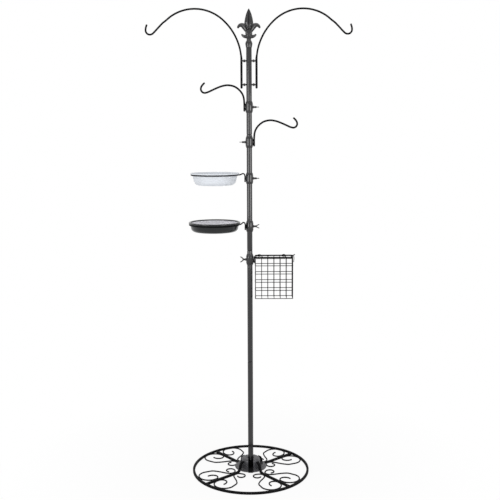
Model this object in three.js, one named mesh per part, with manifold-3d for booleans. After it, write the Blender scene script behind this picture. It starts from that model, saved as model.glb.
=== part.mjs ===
// A free-standing garden stand: a sectional steel pole on a round scrollwork base, with a
// fleur-de-lis finial, two big arched hanging arms, two small hooks, a water dish in a wire
// ring, a seed tray in a wire ring and a wire cage. Each of the last five is on a clamp that
// slides along the pole, swivels round it and is held by a wing screw.
//
// Millimetres, +Z up. The origin is on the floor at the middle of the base, the two big arms
// lie along X, and the front of the stand faces -Y.

import * as THREE from "three";
import { mergeVertices } from "three/addons/utils/BufferGeometryUtils.js";
import Module from "manifold-3d";

const wasm = await Module();
wasm.setup();

// ---------------------------------------------------------------- driving dimensions

const GAP = 0.3; // left between pieces that touch

// pole
const POLE_R = 9.5;
const POLE_WALL = 1.2;
const SPIGOT_R = 7.9; // swaged lower end of a section, inside the one below
const SPIGOT_LENGTH = 28;
const SOCKET_TOP = 36; // where the lowest section starts
const JOINT_HEIGHTS = [404, 804, 1204]; // where the next sections start
const POLE_TOP = 1494;
const POLE_SIDES = 16;

// base
const RING_R = 206; // to the middle of the bar
const BAR = 8; // square bar of the ring and the spokes
const BASE_TURN = 40.5; // direction of the first spoke, degrees from +X
const SPOKE_NAMES = ["back_right", "back_left", "front_left", "front_right"];
const FLANGE_R = 57;
const FLANGE_LOW = 11.7;
const FLANGE_TOP = 14.3;
const DRUM_R = 34;
const DRUM_TOP = 46;
const WINDOW_WIDTH = 18.6; // slot down the front of the drum
const SCROLL_ROD_R = 2.4;
const SCROLL_Z = 5.6; // middle of the rods
const SCROLL_EYE = { along: 157.5, out: 43.5, r: 35.8 }; // big curl, from the hub centre
const SCROLL_CURL = { along: 72, out: 30, r: 16.5, tip: 12 }; // small curl by the hub

// big arms
const ARM_ROD_R = 3.1;
const SHANK_X = 25.5;
const SHANK = { width: 6.6, depth: 10, bottom: 1360, top: 1472 };
const RISE = { x: 209.2, z: 1449.2, r: 183.8, from: 174, to: 132 }; // up from the shank
const ARCH = { x: 182, z: 1480.8, r: 142.1, from: 127, to: 47 };
const ARM_HOOK = { x: 333, z: 1553.5, r: 14 };
const BOLT_R = 2.5;
const BOLT_HEIGHTS = { lower: 1373, upper: 1452 };
const NUT = { middle: 15.6, across: 8, length: 6.5 };

// clamps: height of each on the pole, side of the pole it reaches to, and turn of its wings
const CLAMPS = {
  high_hook: { z: 1298, side: -1, wingsTurn: 0 },
  low_hook: { z: 1180, side: 1, wingsTurn: 0 },
  dish: { z: 1056, side: -1, wingsTurn: 0 },
  tray: { z: 889.5, side: -1, wingsTurn: 35 },
  cage: { z: 773, side: 1, wingsTurn: 90 },
};
const BUSH = { inner: 9.9, neck: 10.6, lip: 12.7, groove: 11.35, half: 19.5, grooveHalf: 12.4 };
const COLLAR = { inner: 11.65, outer: 13, half: 12 };
const BOSS = { r: 4.4, reach: 16.6 };
const SCREW = { r: 2.4, hole: 2.8, tip: 11.8, hub: 3.3, hubStart: 17.1, hubEnd: 25 };
const CLAMP_SIDES = 16;

// hooks, ring wires and what they carry
const HOOK_ROD_R = 2.8;
const WIRE_R = 2.25;
const DISH = { x: -119, ringR: 81.5, ringZ: 1068.5, bottom: 1033.5, wall: 2 };
const TRAY = { x: -122, ringR: 87, ringZ: 896.6, bottom: 872, meshZ: 900.5, meshR: 81.8 };
const MESH = { pitch: 19, bar: 2.4, thick: 1.4, layer: 0.2, rim: 3 };

// wire cage
const CAGE = { x0: 19.5, x1: 149, half: 25, top: 783, bottom: 638, wire: 2.4, rodR: 2.5 };
const CAGE_COLUMNS = 7;
const CAGE_ROWS = 5;
const ROW_PITCH = 29;
const LID = { inset: 4.6, wire: 2.2, eyeR: 4.7, eyeHole: 3.1, eyeWidth: 12, eyes: [33, 119.7] };

const degrees = THREE.MathUtils.degToRad;

// ---------------------------------------------------------------- materials

function finish(color, roughness, metalness, extra = {}) {
  return () => new THREE.MeshStandardMaterial({ color, roughness, metalness, ...extra });
}

const blackCoat = finish(0x1c1d20, 0.38, 0.6);
const poleCoat = finish(0x2b2c2f, 0.3, 0.7);
const hammered = finish(0x5a5a60, 0.5, 0.7);
const blackPlastic = finish(0x161618, 0.45, 0);
const zinc = finish(0x2a2a2c, 0.35, 0.9);
const clearPlastic = finish(0xdfe6ee, 0.1, 0, { transparent: true, opacity: 0.35 });
const meshSteel = finish(0xbfbfc6, 0.4, 0.8);

// ---------------------------------------------------------------- tools for shapes

/** The geometry with shared corners welded, no empty triangles and its faces pointing out. */
function welded(geometry) {
  const copy = geometry.clone();
  copy.deleteAttribute("normal");
  copy.deleteAttribute("uv");
  const whole = mergeVertices(copy, 1e-4);
  const kept = [];
  const index = whole.index.array;
  for (let i = 0; i < index.length; i += 3) {
    const [a, b, c] = [index[i], index[i + 1], index[i + 2]];
    if (a !== b && b !== c && c !== a) kept.push(a, b, c);
  }
  if (volume(whole.attributes.position, kept) < 0) kept.reverse();
  whole.setIndex(kept);
  return whole;
}

/** Signed volume inside a closed mesh, positive when its faces point out. */
function volume(position, index) {
  const [a, b, c] = [new THREE.Vector3(), new THREE.Vector3(), new THREE.Vector3()];
  let sum = 0;
  for (let i = 0; i < index.length; i += 3) {
    a.fromBufferAttribute(position, index[i]);
    b.fromBufferAttribute(position, index[i + 1]);
    c.fromBufferAttribute(position, index[i + 2]);
    sum += a.dot(b.cross(c)) / 6;
  }
  return sum;
}

function toSolid(geometry) {
  const whole = welded(geometry);
  const vertProperties = new Float32Array(whole.attributes.position.array);
  const triVerts = new Uint32Array(whole.index.array);
  return new wasm.Manifold(new wasm.Mesh({ numProp: 3, vertProperties, triVerts }));
}

function toGeometry(solid) {
  const mesh = solid.getMesh();
  const geometry = new THREE.BufferGeometry();
  geometry.setAttribute("position", new THREE.BufferAttribute(mesh.vertProperties, 3));
  geometry.setIndex(new THREE.BufferAttribute(mesh.triVerts, 1));
  return geometry;
}

/** All the shapes joined into one solid. */
function join(shapes) {
  const solids = shapes.map(toSolid);
  return toGeometry(solids.reduce((whole, next) => whole.add(next)));
}

/** The shape with each of the cutters taken away. */
function cut(shape, cutters) {
  const solids = cutters.map(toSolid);
  return toGeometry(solids.reduce((whole, next) => whole.subtract(next), toSolid(shape)));
}

/** A turned piece round Z; the profile is [radius, height] pairs, from axis to axis or closed. */
function turned(profile, sides, closed = false) {
  const points = profile.map(([r, z]) => new THREE.Vector2(r, z));
  if (closed) points.push(points[0].clone());
  return new THREE.LatheGeometry(points, sides).rotateX(Math.PI / 2);
}

/** A block given by its lowest and highest corners. */
function block([x0, y0, z0], [x1, y1, z1]) {
  const box = new THREE.BoxGeometry(x1 - x0, y1 - y0, z1 - z0);
  return box.translate((x0 + x1) / 2, (y0 + y1) / 2, (z0 + z1) / 2);
}

/** A round bar along X, from x0 to x1, at y = 0 and the height z. */
function roundAlongX(r, x0, x1, z, sides = 12) {
  const bar = new THREE.CylinderGeometry(r, r, Math.abs(x1 - x0), sides);
  return bar.rotateZ(Math.PI / 2).translate((x0 + x1) / 2, 0, z);
}

/** A polygon section with its corners on a circle of radius r. */
function section(r, sides) {
  const outline = new THREE.Shape();
  for (let i = 0; i < sides; i++) {
    const a = (2 * Math.PI * (i + 0.5)) / sides;
    if (i === 0) outline.moveTo(r * Math.cos(a), r * Math.sin(a));
    else outline.lineTo(r * Math.cos(a), r * Math.sin(a));
  }
  outline.closePath();
  return outline;
}

/** A rod bent along a smooth curve through the points. */
function rod(points, r, steps, sides = 6) {
  const path = new THREE.CatmullRomCurve3(points.map((p) => new THREE.Vector3(...p)));
  const options = { extrudePath: path, steps, bevelEnabled: false };
  return new THREE.ExtrudeGeometry(section(r, sides), options);
}

/** Points [u, v] on an arc about (cu, cv), from one angle to another in degrees. */
function arc(cu, cv, r, from, to, count, endR = r) {
  const points = [];
  for (let i = 0; i <= count; i++) {
    const t = i / count;
    const a = degrees(from + (to - from) * t);
    const reach = r + (endR - r) * t;
    points.push([cu + reach * Math.cos(a), cv + reach * Math.sin(a)]);
  }
  return points;
}

// ---------------------------------------------------------------- base

function baseRing() {
  const [inner, outer] = [RING_R - BAR / 2, RING_R + BAR / 2];
  return turned([[inner, 0], [outer, 0], [outer, BAR], [inner, BAR]], 56, true);
}

/** A square bar from the ring to the hub, its inner end bent up to the drum's shoulder. */
function spoke(angle) {
  const outEnd = RING_R - BAR / 2 - 0.8;
  const mid = BAR / 2;
  const route = [
    [outEnd, mid],
    [140, mid],
    [80, mid],
    [64, 4.6],
    [56.5, 7.5],
    [51.5, 13.5],
    [49.8, 20.5],
    [48, 27.5],
    [44, 34],
    [37.2, 38.3],
  ];
  const points = route.map(([r, z]) => [r * Math.cos(angle), r * Math.sin(angle), z]);
  return rod(points, BAR / Math.SQRT2, 24, 4);
}

/** A thin rod lying beside a spoke, with a small curl by the hub and a big one by the ring. */
function scroll(angle, side) {
  const touch = BAR / 2 + SCROLL_ROD_R + GAP;
  const { along: es, out: eo, r: er } = SCROLL_EYE;
  const { along: cs, out: co, r: cr, tip: ct } = SCROLL_CURL;
  const flat = [
    ...arc(cs, co, ct, -35, 215, 9, cr),
    [66, 10.2],
    [75, touch + 0.7],
    [85, 9.5],
    [93, 16.5],
    [99, 27],
    [105, 41],
    [113, 56],
    [124, 69.5],
    ...arc(es, eo, er, 115, -100, 11),
    [143, 12.6],
    [137.6, 21.5],
    [138.4, 31.5],
    [144.5, 39.5],
    [153.5, 44],
    [163, 44.8],
  ];
  const [c, s] = [Math.cos(angle), Math.sin(angle)];
  const points = flat.map(([u, v]) => [u * c - side * v * s, u * s + side * v * c, SCROLL_Z]);
  return rod(points, SCROLL_ROD_R, 28, 5);
}

/** Round plate under the drum, notched where the spokes rise through it. */
function hubFlange() {
  const [low, top] = [FLANGE_LOW, FLANGE_TOP];
  const plate = turned(
    [[0, low], [FLANGE_R, low], [FLANGE_R, top - 1], [FLANGE_R - 1.4, top], [0, top]], 36);
  const tall = [low - 2, top + 2];
  const notches = SPOKE_NAMES.map((name, i) => {
    const notch = block([45, -BAR / 2 - GAP - 0.1, tall[0]], [70, BAR / 2 + GAP + 0.1, tall[1]]);
    return notch.rotateZ(degrees(BASE_TURN + 90 * i));
  });
  const half = WINDOW_WIDTH / 2;
  const front = block([-half, -70, tall[0]], [half, 0, tall[1]]);
  const bore = new THREE.CylinderGeometry(POLE_R + GAP, POLE_R + GAP, 20, POLE_SIDES);
  return cut(plate, [...notches, front, bore.rotateX(Math.PI / 2).translate(0, 0, low)]);
}

/** Hollow drum round the pole's foot, with rounded shoulders and a slot down the front. */
function hubDrum() {
  const low = FLANGE_TOP + GAP;
  const bore = POLE_R + 0.6;
  const shell = turned([
    [DRUM_R, low], [DRUM_R + 0.5, 33], [33.4, 39.2], [31.5, 43], [28, 45.5], [24, DRUM_TOP],
    [14, DRUM_TOP],
    [bore, 42], [bore, 39], [22, 43], [27, 41], [30, 37], [31, 32], [DRUM_R - 3, low],
  ], 20, true);
  const half = WINDOW_WIDTH / 2;
  return cut(shell, [block([-half, -45, low - 1], [half, -2, DRUM_TOP + 1])]);
}

/** Stub tube that the pole plugs into, on a foot disc with a tongue to the front edge. */
function poleSocket() {
  const half = WINDOW_WIDTH / 2 - GAP;
  const foot = turned([[0, 2], [30, 2], [30, BAR], [0, BAR]], 24);
  const tube = turned([[0, 2], [POLE_R, 2], [POLE_R, SOCKET_TOP], [0, SOCKET_TOP]], POLE_SIDES);
  const tongue = block([-half, -FLANGE_R + 2, 9.5], [half, -5, FLANGE_TOP]);
  const bore = turned([[0, 8], [SPIGOT_R + GAP, 8], [SPIGOT_R + GAP, 60], [0, 60]], POLE_SIDES);
  return cut(join([foot, tube, tongue]), [bore]);
}

// ---------------------------------------------------------------- pole

/** Tube from z0 to z1, its lower end swaged down to plug into the piece below. */
function poleSection(z0, z1) {
  const [inner, spigotInner] = [POLE_R - POLE_WALL, SPIGOT_R - POLE_WALL];
  const foot = z0 - SPIGOT_LENGTH;
  return turned([
    [spigotInner, foot], [SPIGOT_R, foot], [SPIGOT_R, z0], [POLE_R, z0 + 2], [POLE_R, z1],
    [inner, z1], [inner, z0 + 3.5], [spigotInner, z0 + 1],
  ], POLE_SIDES, true);
}

function poleTop() {
  const bores = Object.values(BOLT_HEIGHTS).map((z) => roundAlongX(BOLT_R + GAP, -20, 20, z));
  return cut(poleSection(JOINT_HEIGHTS[2] + GAP, POLE_TOP), bores);
}

/** Turned foot, bound band and flat flower: blade, two side petals and two lower horns. */
function finial() {
  const stem = turned([
    [0, 1480], [SPIGOT_R, 1480], [SPIGOT_R, POLE_TOP + GAP], [9.6, POLE_TOP + GAP],
    [11, 1501], [12.2, 1507.5], [10.8, 1514], [7.9, 1519], [7.4, 1522.5], [9.4, 1526.5],
    [11.3, 1531], [11.4, 1542], [10.8, 1553], [0, 1555],
  ], 16);
  const band = turned([[0, 1531], [12.4, 1531], [13.2, 1534], [12.4, 1537], [0, 1537]], 16);
  const blade = turned([
    [0, 1553], [8.5, 1560], [14.7, 1579], [12.4, 1592], [9, 1606], [3.8, 1617.5], [0, 1623],
  ], 4).scale(1, 0.5, 1);
  const flower = new THREE.ExtrudeGeometry([petals(), horns()], {
    depth: 9, bevelEnabled: false, curveSegments: 4,
  });
  return join([stem, band, blade, flower.rotateX(Math.PI / 2).translate(0, 4.5, 0)]);
}

/** Outline of the two side petals, curling out and down from the waist. */
function petals() {
  const outline = new THREE.Shape();
  outline.moveTo(-10.5, 1551);
  outline.bezierCurveTo(-13, 1562, -27, 1570, -37.5, 1557);
  outline.bezierCurveTo(-39, 1569, -31, 1578, -23, 1577.5);
  outline.lineTo(-13, 1575);
  outline.lineTo(13, 1575);
  outline.lineTo(23, 1577.5);
  outline.bezierCurveTo(31, 1578, 39, 1569, 37.5, 1557);
  outline.bezierCurveTo(27, 1570, 13, 1562, 10.5, 1551);
  outline.closePath();
  return outline;
}

/** Outline of the two horns under the band, turned up at their tips. */
function horns() {
  const outline = new THREE.Shape();
  outline.moveTo(-8, 1526.5);
  outline.bezierCurveTo(-15, 1527, -22, 1532, -25, 1541);
  outline.bezierCurveTo(-19, 1539, -13, 1539.5, -8, 1539.5);
  outline.lineTo(8, 1539.5);
  outline.bezierCurveTo(13, 1539.5, 19, 1539, 25, 1541);
  outline.bezierCurveTo(22, 1532, 15, 1527, 8, 1526.5);
  outline.closePath();
  return outline;
}

// ---------------------------------------------------------------- big arms

/** Arched rod from a flat shank beside the pole out to an upturned hook. */
function bigArm(side) {
  const route = [
    [SHANK_X, SHANK.top - 12],
    ...arc(RISE.x, RISE.z, RISE.r, RISE.from, RISE.to, 5),
    ...arc(ARCH.x, ARCH.z, ARCH.r, ARCH.from, ARCH.to, 7),
    [289, 1577.2],
    [300, 1566.3],
    [310, 1555.9],
    [318.5, 1547.2],
    [325.3, 1541.4],
    ...arc(ARM_HOOK.x, ARM_HOOK.z, ARM_HOOK.r, -95, 0, 4),
    [346, 1562],
    [342.4, 1573],
  ];
  const bend = rod(route.map(([x, z]) => [side * x, 0, z]), ARM_ROD_R, 40, 6);
  const [half, deep] = [SHANK.width / 2, SHANK.depth / 2];
  const shank = block([-half, -deep, SHANK.bottom], [half, deep, SHANK.top]);
  const bores = Object.values(BOLT_HEIGHTS).map((z) => {
    return roundAlongX(BOLT_R + GAP, side * SHANK_X - 8, side * SHANK_X + 8, z);
  });
  return cut(join([bend, shank.translate(side * SHANK_X, 0, 0)]), bores);
}

function crossBolt(z) {
  const end = SHANK_X + SHANK.width / 2 - 0.2;
  return roundAlongX(BOLT_R, -end, end, z);
}

/** Hexagonal nut on a cross bolt, between the pole and a shank. */
function armNut(side, z) {
  const corner = NUT.across / Math.sqrt(3);
  const x = side * NUT.middle;
  const body = roundAlongX(corner, x - NUT.length / 2, x + NUT.length / 2, z, 6);
  return cut(body, [roundAlongX(BOLT_R + GAP, x - 10, x + 10, z)]);
}

// ---------------------------------------------------------------- clamps

/** Split plastic bush round the pole, tapered at both ends, grooved for the collar. */
function clampBush(z) {
  return turned([
    [BUSH.inner, -BUSH.half], [BUSH.neck, -BUSH.half], [BUSH.lip, -BUSH.grooveHalf],
    [BUSH.groove, -BUSH.grooveHalf], [BUSH.groove, BUSH.grooveHalf],
    [BUSH.lip, BUSH.grooveHalf], [BUSH.neck, BUSH.half], [BUSH.inner, BUSH.half],
  ], CLAMP_SIDES, true).translate(0, 0, z);
}

/** Steel band that swivels in the bush's groove, with a threaded boss for the wing screw. */
function clampCollar({ z, side }) {
  const band = turned([
    [COLLAR.inner, -COLLAR.half], [COLLAR.outer, -COLLAR.half], [COLLAR.outer, COLLAR.half],
    [COLLAR.inner, COLLAR.half],
  ], CLAMP_SIDES, true).translate(0, 0, z);
  const boss = roundAlongX(BOSS.r, -side * (COLLAR.outer - 1.2), -side * BOSS.reach, z);
  const bore = roundAlongX(SCREW.hole, -side * 8, -side * 20, z);
  return cut(join([band, boss]), [bore]);
}

/** Screw with two open wings, reaching from the bush out through the collar's boss. */
function wingScrew({ z, side, wingsTurn }) {
  const shaft = roundAlongX(SCREW.r, SCREW.tip, SCREW.hubStart + 1, 0, 10);
  const hub = roundAlongX(SCREW.hub, SCREW.hubStart, SCREW.hubEnd, 0, 10);
  const outline = new THREE.Shape();
  const half = [[20, 2], [24, 3.6], [30, 9.6], [34, 10.4], [35, 7.8], [27.5, 1.4]];
  outline.moveTo(...half[0]);
  half.slice(1).forEach(([x, y]) => outline.lineTo(x, y));
  half.toReversed().forEach(([x, y]) => outline.lineTo(x, -y));
  outline.closePath();
  const wings = new THREE.ExtrudeGeometry(outline, { depth: 2.4, bevelEnabled: false });
  wings.translate(0, 0, -1.2).rotateX(degrees(wingsTurn));
  const whole = join([shaft, hub, wings]);
  if (side > 0) whole.rotateZ(Math.PI);
  return whole.translate(0, 0, z);
}

// ---------------------------------------------------------------- what the clamps carry

/** Small arched hook, its foot running down the collar. */
function hookRod({ z, side }) {
  const foot = COLLAR.outer + GAP + HOOK_ROD_R;
  const route = [
    [foot, -15], [foot, -4], [foot, 8], [foot + 0.4, 18], [18.2, 30], [22.5, 43], [33, 57],
    [50, 69], [72, 73.5], [92, 70.5], [110, 64], [128, 56], [139, 51],
    ...arc(150.5, 61.5, 13.4, -108, 18, 5),
    [159.5, 73],
    [150.3, 82.4],
  ];
  return rod(route.map(([x, h]) => [side * x, 0, z + h]), HOOK_ROD_R, 36, 6);
}

/** Closed wire ring whose stem humps over to the clamp and runs down its collar. */
function carryingRing({ x, ringR, ringZ }, stemRoute, { side }) {
  const ring = new THREE.TorusGeometry(ringR, WIRE_R, 6, 32).translate(x, 0, ringZ);
  const stem = rod(stemRoute.map(([d, z]) => [side * d, 0, z]), WIRE_R, 14, 6);
  return join([ring, stem]);
}

function dishRing(clamp) {
  const foot = COLLAR.outer + GAP + WIRE_R;
  return carryingRing(DISH, [
    [39, 1068.5], [36, 1068.4], [33, 1068.3], [29, 1069.8], [24, 1072.2], [18.8, 1071.2],
    [foot, 1064], [foot, 1056], [foot, 1043],
  ], clamp);
}

function trayRing(clamp) {
  const foot = COLLAR.outer + GAP + WIRE_R;
  return carryingRing(TRAY, [
    [37, 896.6], [34, 896.5], [31, 896.6], [27.5, 899], [23, 903], [18.6, 902.4],
    [foot, 896], [foot, 888], [foot, 876],
  ], clamp);
}

/** Clear bowl with a flat lip that rests on its ring. */
function waterDish() {
  const { bottom } = DISH;
  const lip = DISH.ringZ + WIRE_R + GAP;
  const inside = bottom + DISH.wall;
  return turned([
    [0, bottom], [58, bottom], [66, bottom + 3], [71.5, 1043], [75.4, 1058], [78.3, lip],
    [84, lip], [84.3, 1074.8], [82.5, 1074.8], [81.8, lip + 2], [76.3, lip + 2],
    [73.4, 1058.6], [69.6, 1044], [64.8, 1038.4], [57.6, inside], [0, inside],
  ], 22).translate(DISH.x, 0, 0);
}

/** Deep dark pan with a rolled rim that rests on its ring, and a ledge for the mesh. */
function trayPan() {
  const { bottom, meshZ } = TRAY;
  const rim = TRAY.ringZ + WIRE_R + GAP;
  return turned([
    [0, bottom], [66, bottom], [76, bottom + 3], [82, 882], [83.8, 891], [84.2, rim],
    [88.8, rim], [90, rim + 3], [88.8, rim + 6], [84.5, rim + 6.6], [82.8, rim + 5],
    [82.4, meshZ - GAP], [79, meshZ - GAP], [79, meshZ - 2], [81.4, 888], [79.8, 883],
    [75, 877.4], [65, bottom + 1.8], [0, bottom + 1.8],
  ], 24).translate(TRAY.x, 0, 0);
}

/** Round flat mesh on the pan's ledge: crossing bars inside a rim. */
function trayMesh() {
  const [low, high] = [TRAY.meshZ, TRAY.meshZ + MESH.thick];
  const [outer, inner] = [TRAY.meshR, TRAY.meshR - MESH.rim];
  const parts = [turned([[inner, low], [outer, low], [outer, high], [inner, high]], 24, true)];
  const count = Math.floor(inner / MESH.pitch) - 1;
  const half = MESH.bar / 2;
  for (let i = -count; i <= count; i++) {
    const at = i * MESH.pitch;
    const reach = Math.sqrt((inner + MESH.rim / 3) ** 2 - at ** 2);
    const [under, over] = [high - 2 * MESH.layer, high - MESH.layer];
    parts.push(block([-reach, at - half, low + MESH.layer], [reach, at + half, under]));
    parts.push(block([at - half, -reach, low + 2 * MESH.layer], [at + half, reach, over]));
  }
  return join(parts).translate(TRAY.x, 0, 0);
}

/** Rod frame round the top of the cage, with a stem running down the clamp's collar. */
function cageHolder({ side }) {
  const { x0, x1, half, top, rodR } = CAGE;
  const bend = 5;
  const corners = [[x1 - bend, half - bend, 0], [x0 + bend, half - bend, 90],
    [x0 + bend, -half + bend, 180], [x1 - bend, -half + bend, 270]];
  const outline = [];
  corners.forEach(([x, y, from]) => outline.push(...arc(x, y, bend, from, from + 90, 2)));
  const foot = COLLAR.outer + GAP + WIRE_R;
  const stem = [[foot, 759], [foot, 769], [foot, 778], [16.2, 782.4], [18.4, top + 0.4]];
  return join([
    closedFrame(outline, top, rodR),
    rod(stem.map(([x, z]) => [side * x, 0, z]), WIRE_R, 12, 6),
  ]);
}

/** A closed loop of rod in a level plane, made of straight runs joined by short round ones. */
function closedFrame(outline, z, r) {
  const rings = outline.map(([x, y], i) => {
    const before = outline[(i + outline.length - 1) % outline.length];
    const after = outline[(i + 1) % outline.length];
    const along = new THREE.Vector2(after[0] - before[0], after[1] - before[1]).normalize();
    const ring = [];
    for (let k = 0; k < 6; k++) {
      const a = degrees(60 * k + 30);
      const sideways = r * Math.cos(a);
      ring.push([x + along.y * sideways, y - along.x * sideways, z + r * Math.sin(a)]);
    }
    return ring;
  });
  const index = [];
  rings.forEach((ring, i) => {
    const next = (i + 1) % rings.length;
    for (let k = 0; k < 6; k++) {
      const l = (k + 1) % 6;
      const [a, b, c, d] = [i * 6 + k, i * 6 + l, next * 6 + k, next * 6 + l];
      index.push(a, b, c, b, d, c);
    }
  });
  const geometry = new THREE.BufferGeometry();
  geometry.setAttribute("position", new THREE.Float32BufferAttribute(rings.flat(2), 3));
  geometry.setIndex(index);
  return geometry;
}

/** A straight square wire between two points that differ along one axis. */
function wire(from, to, width) {
  const low = from.map((v, i) => Math.min(v, to[i]) - width / 2);
  const high = from.map((v, i) => Math.max(v, to[i]) + width / 2);
  return block(low, high);
}

/** Open-topped wire basket: upright U wires crossed by level loops, with a rim at the front. */
function cageBasket() {
  const { x0, x1, half, bottom, wire: width } = CAGE;
  const rim = CAGE.top - CAGE.rodR - GAP - width / 2;
  const wires = [wire([x0, -half, rim], [x1, -half, rim], width)];
  for (let i = 0; i < CAGE_COLUMNS; i++) {
    const x = x0 + ((x1 - x0) * i) / (CAGE_COLUMNS - 1);
    wires.push(wire([x, -half, bottom], [x, -half, rim], width));
    wires.push(wire([x, half, bottom], [x, half, rim], width));
    wires.push(wire([x, -half, bottom], [x, half, bottom], width));
  }
  for (let i = 0; i < CAGE_ROWS; i++) {
    const z = bottom + ROW_PITCH * i;
    wires.push(wire([x0, -half, z], [x1, -half, z], width));
    wires.push(wire([x0, half, z], [x1, half, z], width));
    wires.push(wire([x0, -half, z], [x0, half, z], width));
    wires.push(wire([x1, -half, z], [x1, half, z], width));
  }
  for (const y of [-half / 3, half / 3]) {
    wires.push(wire([x0, y, bottom], [x0, y, rim], width));
    wires.push(wire([x1, y, bottom], [x1, y, rim], width));
  }
  return join(wires);
}

/** Wire lid lying inside the holder's frame, with eyes round its back rail and a catch. */
function cageLid() {
  const { x0, x1, half, top } = CAGE;
  const { inset, wire: width } = LID;
  const [left, right, deep] = [x0 + inset, x1 - inset, half - inset];
  const wires = [
    wire([left, -deep, top], [right, -deep, top], width),
    wire([left, deep, top], [right, deep, top], width),
  ];
  for (let i = 0; i < CAGE_COLUMNS; i++) {
    const x = left + ((right - left) * i) / (CAGE_COLUMNS - 1);
    wires.push(wire([x, -deep, top], [x, deep, top], width));
  }
  for (const x of LID.eyes) {
    wires.push(roundAlongX(LID.eyeR, x - LID.eyeWidth / 2, x + LID.eyeWidth / 2, top)
      .translate(0, half, 0));
  }
  const y = -half / 3;
  wires.push(rod([[right - 1, y, top], [right + 1.5, y, 786.8], [x1, y, 788],
    [x1 + 4, y, 788.6], [x1 + 8, y, 792]], 1.8, 10, 6));
  wires.push(rod([[x1 + 3.6, y, 787.2], [x1 + 5, y, 783], [x1 + 5, y, 773],
    [x1 + 3.6, y, 764]], 1, 8, 6));
  const eyes = roundAlongX(LID.eyeHole, x0 - 10, x1 + 10, top).translate(0, half, 0);
  return cut(join(wires), [eyes]);
}

// ---------------------------------------------------------------- assembly

const stand = new THREE.Group();

function add(name, geometry, material) {
  const mesh = new THREE.Mesh(welded(geometry), material());
  mesh.name = name;
  stand.add(mesh);
}

add("base_ring", baseRing(), blackCoat);
SPOKE_NAMES.forEach((name, i) => {
  const angle = degrees(BASE_TURN + 90 * i);
  add(`spoke_${name}`, spoke(angle), blackCoat);
  add(`scroll_${name}_a`, scroll(angle, 1), blackCoat);
  add(`scroll_${name}_b`, scroll(angle, -1), blackCoat);
});
add("hub_flange", hubFlange(), hammered);
add("hub_drum", hubDrum(), hammered);
add("pole_socket", poleSocket(), blackCoat);

add("pole_lower", poleSection(SOCKET_TOP + GAP, JOINT_HEIGHTS[0]), poleCoat);
add("pole_middle", poleSection(JOINT_HEIGHTS[0] + GAP, JOINT_HEIGHTS[1]), poleCoat);
add("pole_upper", poleSection(JOINT_HEIGHTS[1] + GAP, JOINT_HEIGHTS[2]), poleCoat);
add("pole_top", poleTop(), poleCoat);
add("finial", finial(), poleCoat);

add("arm_left", bigArm(-1), blackCoat);
add("arm_right", bigArm(1), blackCoat);
for (const [level, z] of Object.entries(BOLT_HEIGHTS)) {
  add(`cross_bolt_${level}`, crossBolt(z), zinc);
  add(`arm_nut_${level}_left`, armNut(-1, z), zinc);
  add(`arm_nut_${level}_right`, armNut(1, z), zinc);
}

for (const [name, clamp] of Object.entries(CLAMPS)) {
  add(`${name}_bush`, clampBush(clamp.z), blackPlastic);
  add(`${name}_collar`, clampCollar(clamp), poleCoat);
  add(`${name}_screw`, wingScrew(clamp), zinc);
}
add("high_hook_rod", hookRod(CLAMPS.high_hook), blackCoat);
add("low_hook_rod", hookRod(CLAMPS.low_hook), blackCoat);
add("dish_ring", dishRing(CLAMPS.dish), blackCoat);
add("water_dish", waterDish(), clearPlastic);
add("tray_ring", trayRing(CLAMPS.tray), blackCoat);
add("tray_pan", trayPan(), blackPlastic);
add("tray_mesh", trayMesh(), meshSteel);
add("cage_holder", cageHolder(CLAMPS.cage), blackCoat);
add("cage_basket", cageBasket(), blackCoat);
add("cage_lid", cageLid(), blackCoat);

export default stand;
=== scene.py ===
# Looks of a garden stand: scrollwork base, sectional pole, leaf finial, two big arched arms, two
# small hooks, a water dish, a seed tray and a wire cage, each of the last five on a sliding clamp.
# Sizes are in millimetres, and become metres where a mesh is made.

import math

import bpy
import numpy as np
from mathutils import Matrix


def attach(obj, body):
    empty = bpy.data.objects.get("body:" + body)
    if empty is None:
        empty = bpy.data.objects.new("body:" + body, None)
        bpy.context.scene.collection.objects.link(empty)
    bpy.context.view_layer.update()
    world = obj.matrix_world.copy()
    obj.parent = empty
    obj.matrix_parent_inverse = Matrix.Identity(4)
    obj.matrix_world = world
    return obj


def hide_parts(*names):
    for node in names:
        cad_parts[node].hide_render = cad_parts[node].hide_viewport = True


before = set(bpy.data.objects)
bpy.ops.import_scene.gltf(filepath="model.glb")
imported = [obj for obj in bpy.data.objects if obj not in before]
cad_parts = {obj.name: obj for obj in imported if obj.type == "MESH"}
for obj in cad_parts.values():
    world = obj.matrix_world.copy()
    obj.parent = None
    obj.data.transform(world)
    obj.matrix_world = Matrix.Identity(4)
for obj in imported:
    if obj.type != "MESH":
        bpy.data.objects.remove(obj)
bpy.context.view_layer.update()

MM = 0.001
X, Y, Z = np.eye(3)

# ------------------------------------------------------------------ real sizes

POLE_R, POLE_WALL, SPIGOT_R, SPIGOT_LENGTH = 9.5, 1.2, 7.9, 28
SEAM = 0.3
SOCKET_TOP, POLE_TOP = 36, 1494
POLE_ENDS = {"pole_lower": (SOCKET_TOP, 404), "pole_middle": (404, 804), "pole_upper": (804, 1204),
             "pole_top": (1204, POLE_TOP)}

RING_R, BAR = 206, 8
BASE_TURN = 40.5
SPOKES = ["back_right", "back_left", "front_left", "front_right"]
SCROLL_R, SCROLL_Z = 2.4, 5.6
FLANGE_R, FLANGE_LOW, FLANGE_TOP = 57, 11.7, 14.3
DRUM_LOW, DRUM_TOP, WINDOW_HALF = 14.6, 46, 9.3

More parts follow.
